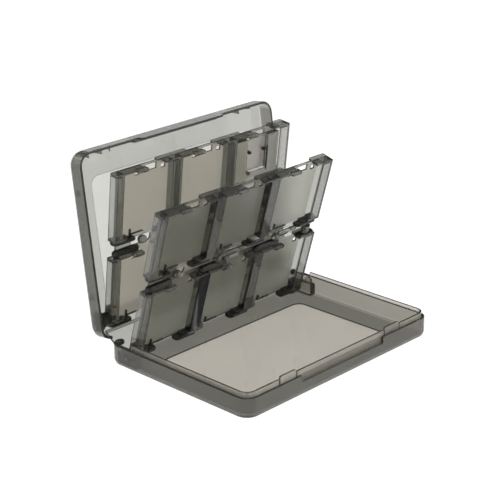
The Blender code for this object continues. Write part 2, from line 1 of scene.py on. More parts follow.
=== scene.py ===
"""Looks of a hinged smoke-tinted case for handheld game cards, standing open.

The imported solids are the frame. Each shell and leaf is dressed from the frame's own solid, with
moulded edges and a frosted or polished grain on each face, and gets pieces of its own for what
the solids leave out: beads round the panels, lobes, nibs, arms and rods on the leaves, knuckles
and bosses at the hinges. Sizes are in millimetres and are turned to metres where a mesh is
made. The studio and the joints' places, which the frame gives, are in metres.
"""

from __future__ import annotations

import json
import logging
import math
from dataclasses import dataclass, field
from enum import Enum
from typing import Callable, Sequence

import bmesh
import bpy
import numpy as np
from mathutils import Matrix, Vector

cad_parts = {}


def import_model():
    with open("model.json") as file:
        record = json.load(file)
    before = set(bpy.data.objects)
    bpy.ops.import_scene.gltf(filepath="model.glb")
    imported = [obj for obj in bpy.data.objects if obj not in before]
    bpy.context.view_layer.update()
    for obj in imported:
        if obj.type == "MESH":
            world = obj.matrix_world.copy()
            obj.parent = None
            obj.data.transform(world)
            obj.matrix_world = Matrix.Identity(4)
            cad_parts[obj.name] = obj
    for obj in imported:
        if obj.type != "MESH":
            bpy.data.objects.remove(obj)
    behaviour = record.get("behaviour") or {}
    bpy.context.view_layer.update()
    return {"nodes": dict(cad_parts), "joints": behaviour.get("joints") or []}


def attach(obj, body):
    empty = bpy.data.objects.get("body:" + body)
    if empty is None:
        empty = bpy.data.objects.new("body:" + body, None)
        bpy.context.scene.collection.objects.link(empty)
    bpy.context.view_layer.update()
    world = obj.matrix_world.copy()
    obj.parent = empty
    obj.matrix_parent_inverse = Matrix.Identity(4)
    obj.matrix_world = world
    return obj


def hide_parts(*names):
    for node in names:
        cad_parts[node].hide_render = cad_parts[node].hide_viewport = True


LOG = logging.getLogger("game_card_case")
Pair = tuple[float, float]
Triple = tuple[float, float, float]
Points = np.ndarray
Rule = Callable[[Points, Points], tuple[Points, Points]]

# A millimetre in metres.
MM = 0.001
# The face attributes that the finishes read: the mould's grain and the share of painted shade.
GRAIN = "mould_grain"
PAINTED_SHADE = "painted_shade"
# A share of painted shade below nought keeps a face pale, its rounded edges too.
PALE = -1.0
# A face looks along an axis when its normal has more than this of it.
SQUARE_ON = 0.9
# A face counts as on a plane when its centre is this near.
NEAR = 0.1
# How far a bead's flat side stays off its panel.
AIR = 0.02
# The least straight stretch beside a rounding.
HAIR = 0.01
# Corners of a solid that are nearer than this are merged.
WELD = 0.001
# Edges of a solid that turn by fewer degrees than this are dissolved.
FLAT_ANGLE = 0.5
# The material slot that marks the faces of rounded edges, until they are read.
ROUNDED = 1
# How far the lid and the leaves lean about their axes, in degrees, as their solids do.
LID_LEAN = -7.0
FRONT_LEAF_LEAN = 16.2
REAR_LEAF_LEAN = 6.86
# Where the lower row of pockets starts above a leaf's axis.
FRONT_LEAF_START = 1.6
REAR_LEAF_START = -3.1
# The pivot pins keep their own solids, and get only a finish.
PINS = ("front_leaf_pin_left", "front_leaf_pin_right", "rear_leaf_pin_left",
        "rear_leaf_pin_right")


class Body(Enum):
    """The moving bodies of the frame."""

    BASE = "base"
    SPINE = "spine"
    LID = "lid"
    FRONT_LEAF = "front_leaf"
    REAR_LEAF = "rear_leaf"


class Grain(Enum):
    """How a face of the mould was finished, as a share from polished to frosted."""

    POLISHED = 0.0
    SATIN = 0.45
    FROSTED = 1.0


class Lie(Enum):
    """How an outline lies: its two axes and the one it faces, of across 0, up 1 and back 2."""

    FACING = (0, 1, 2)
    LEVEL = (0, 2, 1)


def linear_colour(code: str) -> tuple[float, float, float, float]:
    """Turn an sRGB hex colour into linear light by the standard's curve.

    Args:
        code: Six hexadecimal digits, two for each of red, green and blue.

    Returns:
        Linear red, green and blue, and an alpha of one.
    """
    channels = [int(code[start:start + 2], 16) / 255 for start in (0, 2, 4)]
    lit = [value / 12.92 if value <= 0.04045 else ((value + 0.055) / 1.055) ** 2.4
           for value in channels]
    return lit[0], lit[1], lit[2], 1.0


def add_node(tree: bpy.types.NodeTree, kind: str, settings: dict | None = None,
             links: dict | None = None) -> bpy.types.Node:
    """Add a shader node, set its properties and sockets, and link its inputs.

    Args:
        tree: The material's node tree.
        kind: The node's type name.
        settings: Values by property name, or by input name or number.
        links: Output sockets by the name or number of the input that they go to.

    Returns:
        The new node.
    """
    node = tree.nodes.new(kind)
    for name, value in (settings or {}).items():
        if isinstance(name, int) or name in node.inputs:
            node.inputs[name].default_value = value
        else:
            setattr(node, name, value)
    for name, socket in (links or {}).items():
        tree.links.new(socket, node.inputs[name])
    return node


@dataclass(frozen=True)
class Place:
    """A local frame of across, up and back, turned about the hinge direction."""

    origin: Triple = (0.0, 0.0, 0.0)
    lean: float = 0.0

    def axes(self) -> Points:
        """Work out the local directions, a left-handed set.

        Up is (0, minus the sine, the cosine) of the lean, and back is (0, the cosine, the sine).

        Returns:
            Across, up and back as rows.
        """
        turn = math.radians(self.lean)
        return np.array([(1.0, 0.0, 0.0),
                         (0.0, -math.sin(turn), math.cos(turn)),
                         (0.0, math.cos(turn), math.sin(turn))])

    def to_world(self, points: Points) -> Points:
        """Turn local millimetres into world metres."""
        return (points @ self.axes()) * MM + np.array(self.origin)

    def to_local(self, points: Points) -> Points:
        """Turn world metres into local millimetres."""
        return ((points - np.array(self.origin)) / MM) @ self.axes().T


@dataclass(frozen=True)
class Slab:
    """A flat slab: half its outline's size, its corner radius, thickness and edge rounding."""

    lie: Lie
    half: Pair
    radius: float
    thickness: float
    edge: float


@dataclass(frozen=True)
class Bar:
    """A round bar across a leaf: its rise over the lower row, its depth and its radius."""

    rise: float
    back: float
    radius: float


def rounded_outline(half: Pair, radius: float, steps: int = 6) -> tuple[Points, Points]:
    """Work out a rounded rectangle.

    Each corner is a quarter circle: its centre plus the radius times (cosine, sine) of the
    angle, and the outward normal is (cosine, sine) itself.

    Args:
        half: Half the size along each axis.
        radius: The corner radius, at most the smaller half.
        steps: Steps in each quarter.

    Returns:
        The points and their outward normals, counter-clockwise.
    """
    quarter = np.linspace(0.0, math.pi / 2, steps + 1)
    angle = (quarter[None, :] + np.arange(4)[:, None] * math.pi / 2).ravel()
    normals = np.stack([np.cos(angle), np.sin(angle)], axis=-1)
    signs = np.repeat(np.array([(1, 1), (-1, 1), (-1, -1), (1, -1)]), steps + 1, axis=0)
    radius = min(radius, half[0] - HAIR, half[1] - HAIR)
    return signs * (np.array(half) - radius) + radius * normals, normals


def edge_profile(thickness: float, edge: float, steps: int = 3) -> tuple[Points, Points]:
    """Work out a slab's edge: a quarter circle out, then a quarter circle in.

    Args:
        thickness: The slab's whole thickness.
        edge: The rounding radius, at most half the thickness.
        steps: Steps in each quarter.

    Returns:
        How far each ring is drawn in, and its level about the slab's middle.
    """
    edge = min(edge, thickness / 2 - HAIR)
    angle = np.linspace(0.0, math.pi / 2, steps + 1)
    inset = edge * (1 - np.sin(angle))
    level = edge * (1 - np.cos(angle)) - thickness / 2
    return np.concatenate([inset, inset[::-1]]), np.concatenate([level, -level[::-1]])


def lay_out(lie: Lie, flat: Points, level: Points) -> Points:
    """Put places on an outline, and how far they stand off it, on the local axes.

    Args:
        lie: Which axes the outline and the stand take.
        flat: Places along the outline's two axes, by ring and by point.
        level: The stand, in a shape that fills out to the rings and points.

    Returns:
        Places across, up and back, by ring and by point.
    """
    grid = np.empty((*flat.shape[:2], 3))
    grid[..., list(lie.value[:2])] = flat
    grid[..., lie.value[2]] = level
    return grid


@dataclass
class Surface:
    """A growing set of closed surfaces in a local frame, made into one piece at the end."""

    points: list[Points] = field(default_factory=list)
    faces: list[list[int]] = field(default_factory=list)
    count: int = 0

    def add_grid(self, grid: Points, wraps: bool = False) -> None:
        """Add a tube of rings, closed round each ring, with flat ends or joined end to end.

        Ring i and point j sit at grid[i, j]. Each face joins points j and j + 1 of ring i to
        those of ring i + 1, counted round, and the end rings become flat faces. The sign of the
        volume that the faces enclose says which way they run. The local axes are a left-handed
        set, so faces that run clockwise here look outwards in the world.

        Args:
            grid: Places by ring, by point round the ring, by axis.
            wraps: Whether the last ring joins the first.
        """
        rings, around, _ = grid.shape
        last = rings if wraps else rings - 1
        ring, step = np.meshgrid(np.arange(last), np.arange(around), indexing="ij")
        after, beside = (ring + 1) % rings, (step + 1) % around
        quads = np.stack([ring * around + step, ring * around + beside,
                          after * around + beside, after * around + step], axis=-1)
        flat = grid.reshape(-1, 3)
        corners = flat[quads.reshape(-1, 4)]
        spokes = corners - flat.mean(axis=0)
        volume = np.einsum("ij,ij->i", spokes[:, 0], np.cross(spokes[:, 1], spokes[:, 2])
                           + np.cross(spokes[:, 2], spokes[:, 3])).sum()
        made = (quads.reshape(-1, 4) + self.count).tolist()
        if not wraps:
            made.append((np.arange(around)[::-1] + self.count).tolist())
            made.append((np.arange(around) + (rings - 1) * around + self.count).tolist())
        self.faces += made if volume < 0 else [face[::-1] for face in made]
        self.points.append(flat)
        self.count += len(flat)

    def add_slab(self, slab: Slab, centre: Triple) -> None:
        """Add a flat slab with a rounded-rectangle outline and quarter-round edges.

        Each ring is the outline, drawn in along its normals by the edge's inset at that level.

        Args:
            slab: Its sizes and how it lies.
            centre: Its middle: across, up and back.
        """
        outline, normals = rounded_outline(slab.half, slab.radius)
        inset, level = edge_profile(slab.thickness, slab.edge)
        flat = outline[None, :, :] - inset[:, None, None] * normals[None, :, :]
        self.add_grid(lay_out(slab.lie, flat, level[:, None]) + np.array(centre))

    def add_bead(self, lie: Lie, centre: Triple, half: Pair, radius: float, width: float,
                 height: float, steps: int = 6) -> None:
        """Add a raised bead that runs round a rounded rectangle.

        The section is half an ellipse, closed by its flat side: a point is aside of the outline
        by half the width times the cosine, and off it by the height times the sine.

        Args:
            lie: Which axes carry the rectangle and the bead's height.
            centre: The middle of the rectangle, on the surface that carries the bead.
            half: Half the rectangle's size along its two axes.
            radius: The rectangle's corner radius.
            width: The bead's width.
            height: How far it stands out, less than nought towards the front.
            steps: Steps over the section.
        """
        outline, normals = rounded_outline(half, radius)
        turn = np.linspace(0.0, math.pi, steps + 1)
        aside, out = np.cos(turn) * width / 2, np.sin(turn) * height
        flat = outline[:, None, :] + aside[None, :, None] * normals[:, None, :]
        self.add_grid(lay_out(lie, flat, out[None, :]) + np.array(centre), wraps=True)

    def add_turned(self, centre: Triple, profile: Sequence[Pair], sides: int = 24) -> None:
        """Add a turned form about the across direction.

        Each (along, radius) pair of the profile gives one ring: up is the radius times the
        cosine, and back is the radius times the sine.

        Args:
            centre: Its middle: across, up and back.
            profile: Places along the axis with their radii, from end to end.
            sides: Points round each ring.
        """
        turn = np.linspace(0.0, 2 * math.pi, sides, endpoint=False)
        along, radius = np.array(profile).T
        grid = np.empty((len(along), sides, 3))
        grid[..., 0] = along[:, None]
        grid[..., 1] = radius[:, None] * np.cos(turn)
        grid[..., 2] = radius[:, None] * np.sin(turn)
        self.add_grid(grid + np.array(centre))

    def add_capsule(self, centre: Triple, half: float, radius: float, tip: float = 0.06,
                    steps: int = 5) -> None:
        """Add a rod along the across direction with half-ball ends.

        In an end, a ring's radius is the rod's times the sine of an angle, and the ring stands
        out from the ball's centre by the rod's radius times the cosine.

        Args:
            centre: Its middle: across, up and back.
            half: Half its whole length.
            radius: Its radius.
            tip: The angle of the smallest ring, which the flat tip closes.
            steps: Steps from there to the straight part.
        """
        turn = np.linspace(tip, math.pi / 2, steps + 1)
        along = half - radius + radius * np.cos(turn)
        ring = radius * np.sin(turn)
        self.add_turned(centre, list(zip(-along, ring)) + list(zip(along[::-1], ring[::-1])))

    def make_piece(self, name: str, place: Place, body: Body,
                   material: bpy.types.Material) -> bpy.types.Object:
        """Make the surfaces into one piece that rides on a body.

        Args:
            name: The piece's name.
            place: The local frame that the points are in.
            body: The body that it rides on.
            material: The finish.

        Returns:
            The piece, at the origin with its place in its mesh.
        """
        mesh = bpy.data.meshes.new(name)
        mesh.from_pydata(place.to_world(np.concatenate(self.points)).tolist(), [], self.faces)
        mesh.materials.append(material)
        piece = bpy.data.objects.new(name, mesh)
        bpy.context.scene.collection.objects.link(piece)
        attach(piece, body.value)
        LOG.info("made %s with %d faces", name, len(self.faces))
        return piece


@dataclass(frozen=True)
class Window:
    """A thin rounded rectangle in a shell, left out of the painted shade, so paler than the
    plastic round it.
    """

    place: Place
    centre: Triple
    half: Pair
    radius: float
    lie: Lie
    feather: float = 0.5

    def mask(self, tree: bpy.types.NodeTree, spot: bpy.types.NodeSocket) -> bpy.types.NodeSocket:
        """Work out how far a point is inside the window, from nought to one.

        The distance beyond the straight sides, drawn in by the corner radius, is measured along
        both axes, and their hypotenuse is compared with the radius.

        Args:
            tree: The material's node tree.
            spot: The point in object coordinates.

        Returns:
            The socket with the mask.
        """
        local = add_node(tree, "ShaderNodeMapping",
                         {"vector_type": "TEXTURE",
                          "Location": self.place.to_world(np.array(self.centre)).tolist(),
                          "Rotation": (math.radians(self.place.lean), 0.0, 0.0),
                          "Scale": (MM, MM, MM)}, {"Vector": spot})
        parts = add_node(tree, "ShaderNodeSeparateXYZ", links={0: local.outputs["Vector"]})
        # Across, up and back come out as X, Z and Y.
        sockets = (parts.outputs["X"], parts.outputs["Z"], parts.outputs["Y"])
        beyond = []
        for axis, half in zip(self.lie.value, self.half):
            size = add_node(tree, "ShaderNodeMath", {"operation": "ABSOLUTE"},
                            {0: sockets[axis]})
            over = add_node(tree, "ShaderNodeMath", {"operation": "SUBTRACT",
                                                     1: half - self.radius}, {0: size.outputs[0]})
            beyond.append(add_node(tree, "ShaderNodeMath", {"operation": "MAXIMUM", 1: 0.0},
                                   {0: over.outputs[0]}))
        pair = add_node(tree, "ShaderNodeCombineXYZ",
                        links={0: beyond[0].outputs[0], 1: beyond[1].outputs[0]})
        reach = add_node(tree, "ShaderNodeVectorMath", {"operation": "LENGTH"},
                         {0: pair.outputs[0]})
        inside = add_node(tree, "ShaderNodeMapRange",
                          {"From Min": self.radius - self.feather, "From Max": self.radius,
                           "To Min": 1.0, "To Max": 0.0}, {"Value": reach.outputs["Value"]})
        return inside.outputs["Result"]


@dataclass(frozen=True)
class SmokedPolystyrene:
    """Injection-moulded crystal polystyrene with a smoke dye: clear, glossy, dark at its edges.

    The dye darkens light by the length of its way through the plastic, so thin webs look pale
    and walls seen along their length look dark. Frosted faces of the mould blur what lies
    behind them and carry a warm bloom; polished faces stay clear. A shade tint is painted on
    top, by each face's share: painted shade on walls, posts, undersides and rounded edges, for
    the shade and the dark refraction lines that light leaves there.

    The density is the dye's, per metre. Polystyrene's index of refraction is about 1.59, and a
    lower one here makes walls this thin mirror and shift less of what is round them. The melt
    leaves faint clouds of the flow size, and the mould's pitting is drawn at the spark size and
    depth, far coarser than the real one, which would be too fine to show.
    """

    name: str
    window: Window | None = None
    dye: str = "8C8D78"
    density: float = 560.0
    polished_tint: str = "FFFFFF"
    frosted_tint: str = "FCFCF4"
    # The tint of the painted shade, mixed in by each face's share of it.
    shade_tint: str = "8A8A83"
    polished_roughness: float = 0.05
    frosted_roughness: float = 0.42
    clearness: float = 0.94
    shine: float = 0.5
    index: float = 1.45
    flow_size: float = 26.0
    flow_range: Pair = (0.3, 0.7)
    flow_shade: float = 0.95
    flow_detail: float = 2.0
    spark_size: float = 0.9
    spark_depth: float = 0.02
    spark_strength: float = 0.5
    spark_detail: float = 1.0

    def build(self) -> bpy.types.Material:
        """Build the node material.

        The tint goes from polished to frosted by the grain, and on to the painted shade's tint by
        the face's share of painted shade, which a window takes away. Clouds then shade it.

        Returns:
            The material.
        """
        material = bpy.data.materials.new(self.name)
        material.use_nodes = True
        tree = material.node_tree
        tree.nodes.clear()
        place = add_node(tree, "ShaderNodeTexCoord")
        grain = add_node(tree, "ShaderNodeAttribute", {"attribute_name": GRAIN})
        # The face's share of painted shade.
        shade_share = add_node(tree, "ShaderNodeAttribute", {"attribute_name": PAINTED_SHADE}).outputs["Fac"]
        if self.window is not None:
            outside = add_node(tree, "ShaderNodeMath", {"operation": "SUBTRACT", 0: 1.0},
                               {1: self.window.mask(tree, place.outputs["Object"])})
            shade_share = add_node(tree, "ShaderNodeMath", {"operation": "MULTIPLY"},
                             {0: shade_share, 1: outside.outputs[0]}).outputs[0]
        flow = add_node(tree, "ShaderNodeTexNoise",
                        {"Scale": 1 / (self.flow_size * MM), "Detail": self.flow_detail},
                        {"Vector": place.outputs["Object"]})
        cloud = add_node(tree, "ShaderNodeMapRange",
                         {"From Min": self.flow_range[0], "From Max": self.flow_range[1],
                          "To Min": self.flow_shade, "To Max": 1.0},
                         {"Value": flow.outputs["Fac"]})
        tint = add_node(tree, "ShaderNodeMix", {"data_type": "RGBA",
                                               6: linear_colour(self.polished_tint),
                                               7: linear_colour(self.frosted_tint)},
                        {0: grain.outputs["Fac"]})
        # Painted shade: mix in its tint by that share.
        shaded = add_node(tree, "ShaderNodeMix", {"data_type": "RGBA", "clamp_factor": False,
                                               7: linear_colour(self.shade_tint)},
                        {0: shade_share, 6: tint.outputs[2]})
        clouded = add_node(tree, "ShaderNodeVectorMath", {"operation": "SCALE"},
                           {0: shaded.outputs[2], "Scale": cloud.outputs["Result"]})
        rough = add_node(tree, "ShaderNodeMapRange",
                         {"To Min": self.polished_roughness, "To Max": self.frosted_roughness},
                         {"Value": grain.outputs["Fac"]})
        spark = add_node(tree, "ShaderNodeTexNoise",
                         {"Scale": 1 / (self.spark_size * MM), "Detail": self.spark_detail},
                         {"Vector": place.outputs["Object"]})
        pitting = add_node(tree, "ShaderNodeBump", {"Strength": self.spark_strength,
                                                    "Distance": self.spark_depth * MM},
                           {"Height": spark.outputs["Fac"]})
        shader = add_node(tree, "ShaderNodeBsdfPrincipled",
                          {"IOR": self.index, "Transmission Weight": self.clearness,
                           "Specular IOR Level": self.shine},
                          {"Base Color": clouded.outputs["Vector"],
                           "Roughness": rough.outputs["Result"],
                           "Normal": pitting.outputs["Normal"]})
        dye = add_node(tree, "ShaderNodeVolumeAbsorption",
                       {"Color": linear_colour(self.dye), "Density": self.density})
        add_node(tree, "ShaderNodeOutputMaterial",
                 links={"Surface": shader.outputs["BSDF"], "Volume": dye.outputs["Volume"]})
        return material


def mark_faces(rule: Rule, mesh: bpy.types.Mesh, place: Place, edge_shade: float) -> None:
    """Give each face of a mesh its mould grain and its share of painted shade.

    The faces of the rounded edges come with the second material slot, which is then given up.
    A face whose rule gives less than nought stays pale, also on its rounded edges; other rounded
    edges get painted shade, dark lines like those that refraction draws along moulded edges.

    Args:
        rule: Works out both from local face centres and normals.
        mesh: The mesh.
        place: The local frame that the rule reads.
        edge_shade: The least share of painted shade on the rounded edges.
    """
    centres = np.empty(len(mesh.polygons) * 3)
    normals = np.empty(len(mesh.polygons) * 3)
    mesh.polygons.foreach_get("center", centres)
    mesh.polygons.foreach_get("normal", normals)
    slots = np.empty(len(mesh.polygons), np.int32)
    mesh.polygons.foreach_get("material_index", slots)
    grains, shades = rule(place.to_local(centres.reshape(-1, 3)),
                          normals.reshape(-1, 3) @ place.axes().T)
    is_edge = slots >= ROUNDED
    grains[is_edge] = Grain.POLISHED.value
    # The rounded edges get painted shade, the dark lines that refraction draws along moulded
    # edges.
    is_dark_edge = is_edge & (shades >= 0.0)
    shades[is_dark_edge] = np.maximum(shades[is_dark_edge], edge_shade)
    shades = np.maximum(shades, 0.0)
    mesh.polygons.foreach_set("material_index", np.zeros_like(slots))
    for name, values in zip((GRAIN, PAINTED_SHADE), (grains, shades)):
        layer = mesh.attributes.new(name, "FLOAT", "FACE")
        layer.data.foreach_set("value", values.astype(np.float32))


def plain_marks(grain: Grain, depth: float) -> Rule:
    """Give a rule that puts one grain and one share of painted shade on every face."""
    return lambda centres, normals: (np.full(len(centres), grain.value),
                                     np.full(len(centres), depth))


@dataclass
class Moulding:
    """A moulded-looking stand-in for one of the frame's solids.

    The splits are levels where its faces are cut, so that a rule can tell one side from the
    other. Edges sharper than the sharp angle are rounded by the edge's width, in segments, and
    get painted shade for the dark lines along moulded edges.
    """

    node: str
    body: Body
    slot: str
    material: bpy.types.Material
    place: Place
    rule: Rule
    splits: tuple[float, ...] = ()
    edge: float = 0.32
    segments: int = 2
    sharp: float = 30.0
    edge_shade: float = 1.0

    def build(self, nodes: dict) -> bpy.types.Object:
        """Copy the solid, merge it, cut its faces at the splits and round its edges.

        Args:
            nodes: The frame's solids by name.

        Returns:
            The new piece, which stands for the solid.
        """
        shape = bmesh.new()
        shape.from_mesh(nodes[self.node].data)
        bmesh.ops.remove_doubles(shape, verts=shape.verts, dist=WELD * MM)
        bmesh.ops.dissolve_limit(shape, angle_limit=math.radians(FLAT_ANGLE),
                                 verts=shape.verts, edges=shape.edges)
        up = self.place.axes()[1]
        for level in self.splits:
            spot = self.place.to_world(np.array([(0.0, level, 0.0)]))[0]
            bmesh.ops.bisect_plane(shape, geom=shape.verts[:] + shape.edges[:] + shape.faces[:],
                                   plane_co=spot, plane_no=up)
        edges = [edge for edge in shape.edges if edge.is_manifold
                 and edge.calc_face_angle() > math.radians(self.sharp)]
        bmesh.ops.bevel(shape, geom=edges, offset=self.edge * MM, offset_type="OFFSET",
                        segments=self.segments, profile=0.5, affect="EDGES",
                        clamp_overlap=True, material=ROUNDED)
        mesh = bpy.data.meshes.new(f"{self.node}_moulding")
        shape.to_mesh(mesh)
        shape.free()
        mark_faces(self.rule, mesh, self.place, self.edge_shade)
        mesh.materials.append(self.material)
        piece = bpy.data.objects.new(f"{self.node}_moulding", mesh)
        bpy.context.scene.collection.objects.link(piece)
        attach(piece, self.body.value)
        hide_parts(self.node)
        LOG.info("dressed %s", self.node)
        return piece


@dataclass
class Tray:
    """The base: a tray with a pale floor panel and a knuckle at each rear corner."""

    floor: float = 1.2
    panel_half: Pair = (51.0, 31.0)
    panel_middle: float = -3.0
    panel_radius: float = 5.0
    bead_width: float = 0.9
    bead_height: float = 0.25
    knuckle: Triple = (63.9, 11.4, 43.2)
    knuckle_half: float = 1.9
    knuckle_radius: float = 1.6
    bracket_outer: float = 64.8
    bracket_low: float = 2.0
    bracket_front: float = 28.0
    underside: float = 0.4
    lip_foot: float = 9.0
    # Shares of painted shade on the walls below the lip and on the floor round the panel.
    wall_shade: float = 0.45
    margin_shade: float = 0.8
    place: Place = Place()

    def window(self) -> Window:
        """Give the floor panel, where the shell is thin."""
        return Window(self.place, (0.0, 0.0, self.panel_middle), self.panel_half,
                      self.panel_radius, Lie.LEVEL)

    def marks(self, centres: Points, normals: Points) -> tuple[Points, Points]:
        """Frost the underside and paint shade on the floor; leave walls satin and rims polished.

        Walls get painted shade up to the lip, and the leaf's brackets at the back stay pale.

        Args:
            centres: Local face centres.
            normals: Local face normals.

        Returns:
            The grain and the share of painted shade of each face.
        """
        grains = np.full(len(centres), Grain.SATIN.value)
        across, up, back = centres.T
        shades = np.where(up < self.lip_foot, self.wall_shade, 0.0)
        is_level = np.abs(normals[:, 1]) > SQUARE_ON
        grains[is_level] = Grain.POLISHED.value
        grains[is_level & (up < self.underside)] = Grain.FROSTED.value
        shades[is_level & (up < self.floor + NEAR)] = self.margin_shade
        in_bracket = ((np.abs(across) < self.bracket_outer) & (up > self.bracket_low)
                      & (back > self.bracket_front))
        shades[in_bracket] = PALE
        return grains, shades

    def build(self, nodes: dict, smoke: bpy.types.Material, dark: bpy.types.Material) -> None:
        """Build the tray's pieces.

        Args:
            nodes: The frame's solids by name.
            smoke: The smoke-tinted plastic.
            dark: A darker copy of the plastic, whose dark tint is painted shade.
        """
        Moulding("base_tray", Body.BASE, "smoke_base", smoke, self.place, self.marks).build(nodes)
        # The floor panel's bead takes the darker copy: a painted shadow line round the panel.
        bead = Surface()
        bead.add_bead(Lie.LEVEL, (0.0, self.floor + AIR, self.panel_middle), self.panel_half,
                      self.panel_radius, self.bead_width, self.bead_height)
        bead.make_piece("floor_panel_bead", self.place, Body.BASE, dark)
        knuckles = Surface()
        across, up, back = self.knuckle
        for side in (-1, 1):
            knuckles.add_capsule((side * across, up, back), self.knuckle_half,
                                 self.knuckle_radius)
        knuckles.make_piece("tray_knuckles", self.place, Body.BASE, dark)


@dataclass
class Lid:
    """The lid: a shell with a pale panel, and bosses and curls at the rear leaf's pivots."""

    place: Place
    pivot: Triple
    inside: float = 0.2
    outside: float = 1.4
    boss_middle: float = 63.2
    boss: tuple[Pair, ...] = ((-1.7, 1.4), (-1.7, 3.4), (-1.4, 3.7), (1.4, 3.7), (1.7, 3.4),
                              (1.7, 1.4))
    curl_up: float = 2.6
    curl_back: float = -1.0
    curl_half: float = 2.4
    curl_radius: float = 1.5
    top: float = 90.0
    # Shares of painted shade on the walls, the top wall and the plate round the panel.
    wall_shade: float = 0.85
    top_shade: float = 0.1
    plate_shade: float = 0.36
    bead_width: float = 0.6
    bead_height: float = 0.2
    panel_half: Pair = (56.4, 35.0)
    panel_middle: float = 44.6
    panel_radius: float = 5.0

    def window(self) -> Window:
        """Give the lid panel, where the shell is thin."""
        return Window(self.place, (0.0, self.panel_middle, 0.0), self.panel_half,
                      self.panel_radius, Lie.FACING)

    def marks(self, centres: Points, normals: Points) -> tuple[Points, Points]:
        """Paint shade on the walls and leave them satin, and polish the plate's inside and the
        rims.

        The top wall gets less painted shade than the others.

        Args:
            centres: Local face centres.
            normals: Local face normals.

        Returns:
            The grain and the share of painted shade of each face.
        """
        grains = np.full(len(centres), Grain.SATIN.value)
        shades = np.full(len(centres), self.wall_shade)
        _, up, back = centres.T
        is_facing = np.abs(normals[:, 2]) > SQUARE_ON
        grains[is_facing] = Grain.POLISHED.value
        on_plate = is_facing & (back > self.inside - NEAR)
        shades[on_plate] = self.plate_shade
        shades[(up > self.top) & ~is_facing] = self.top_shade
        grains[on_plate & (back > self.outside - NEAR)] = Grain.SATIN.value
        return grains, shades

    def build(self, nodes: dict, smoke: bpy.types.Material, dark: bpy.types.Material) -> None:
        """Build the lid's pieces.

        Args:
            nodes: The frame's solids by name.
            smoke: The smoke-tinted plastic.
            dark: A darker copy of the plastic, whose dark tint is painted shade.
        """
        Moulding("lid_shell", Body.LID, "smoke_lid", smoke, self.place, self.marks).build(nodes)
        bead = Surface()
        bead.add_bead(Lie.FACING, (0.0, self.panel_middle, self.inside - AIR), self.panel_half,
                      self.panel_radius, self.bead_width, -self.bead_height)
        bead.make_piece("lid_panel_bead", self.place, Body.LID, smoke)
        bosses = Surface()
        across, up, back = self.place.to_local(np.array([self.pivot]))[0]
        for side in (-1, 1):
            bosses.add_turned((across + side * self.boss_middle, up, back), self.boss)
            bosses.add_capsule((side * self.boss_middle, self.curl_up, self.curl_back),
                               self.curl_half, self.curl_radius)
        bosses.make_piece("rear_pivot_bosses", self.place, Body.LID, dark)


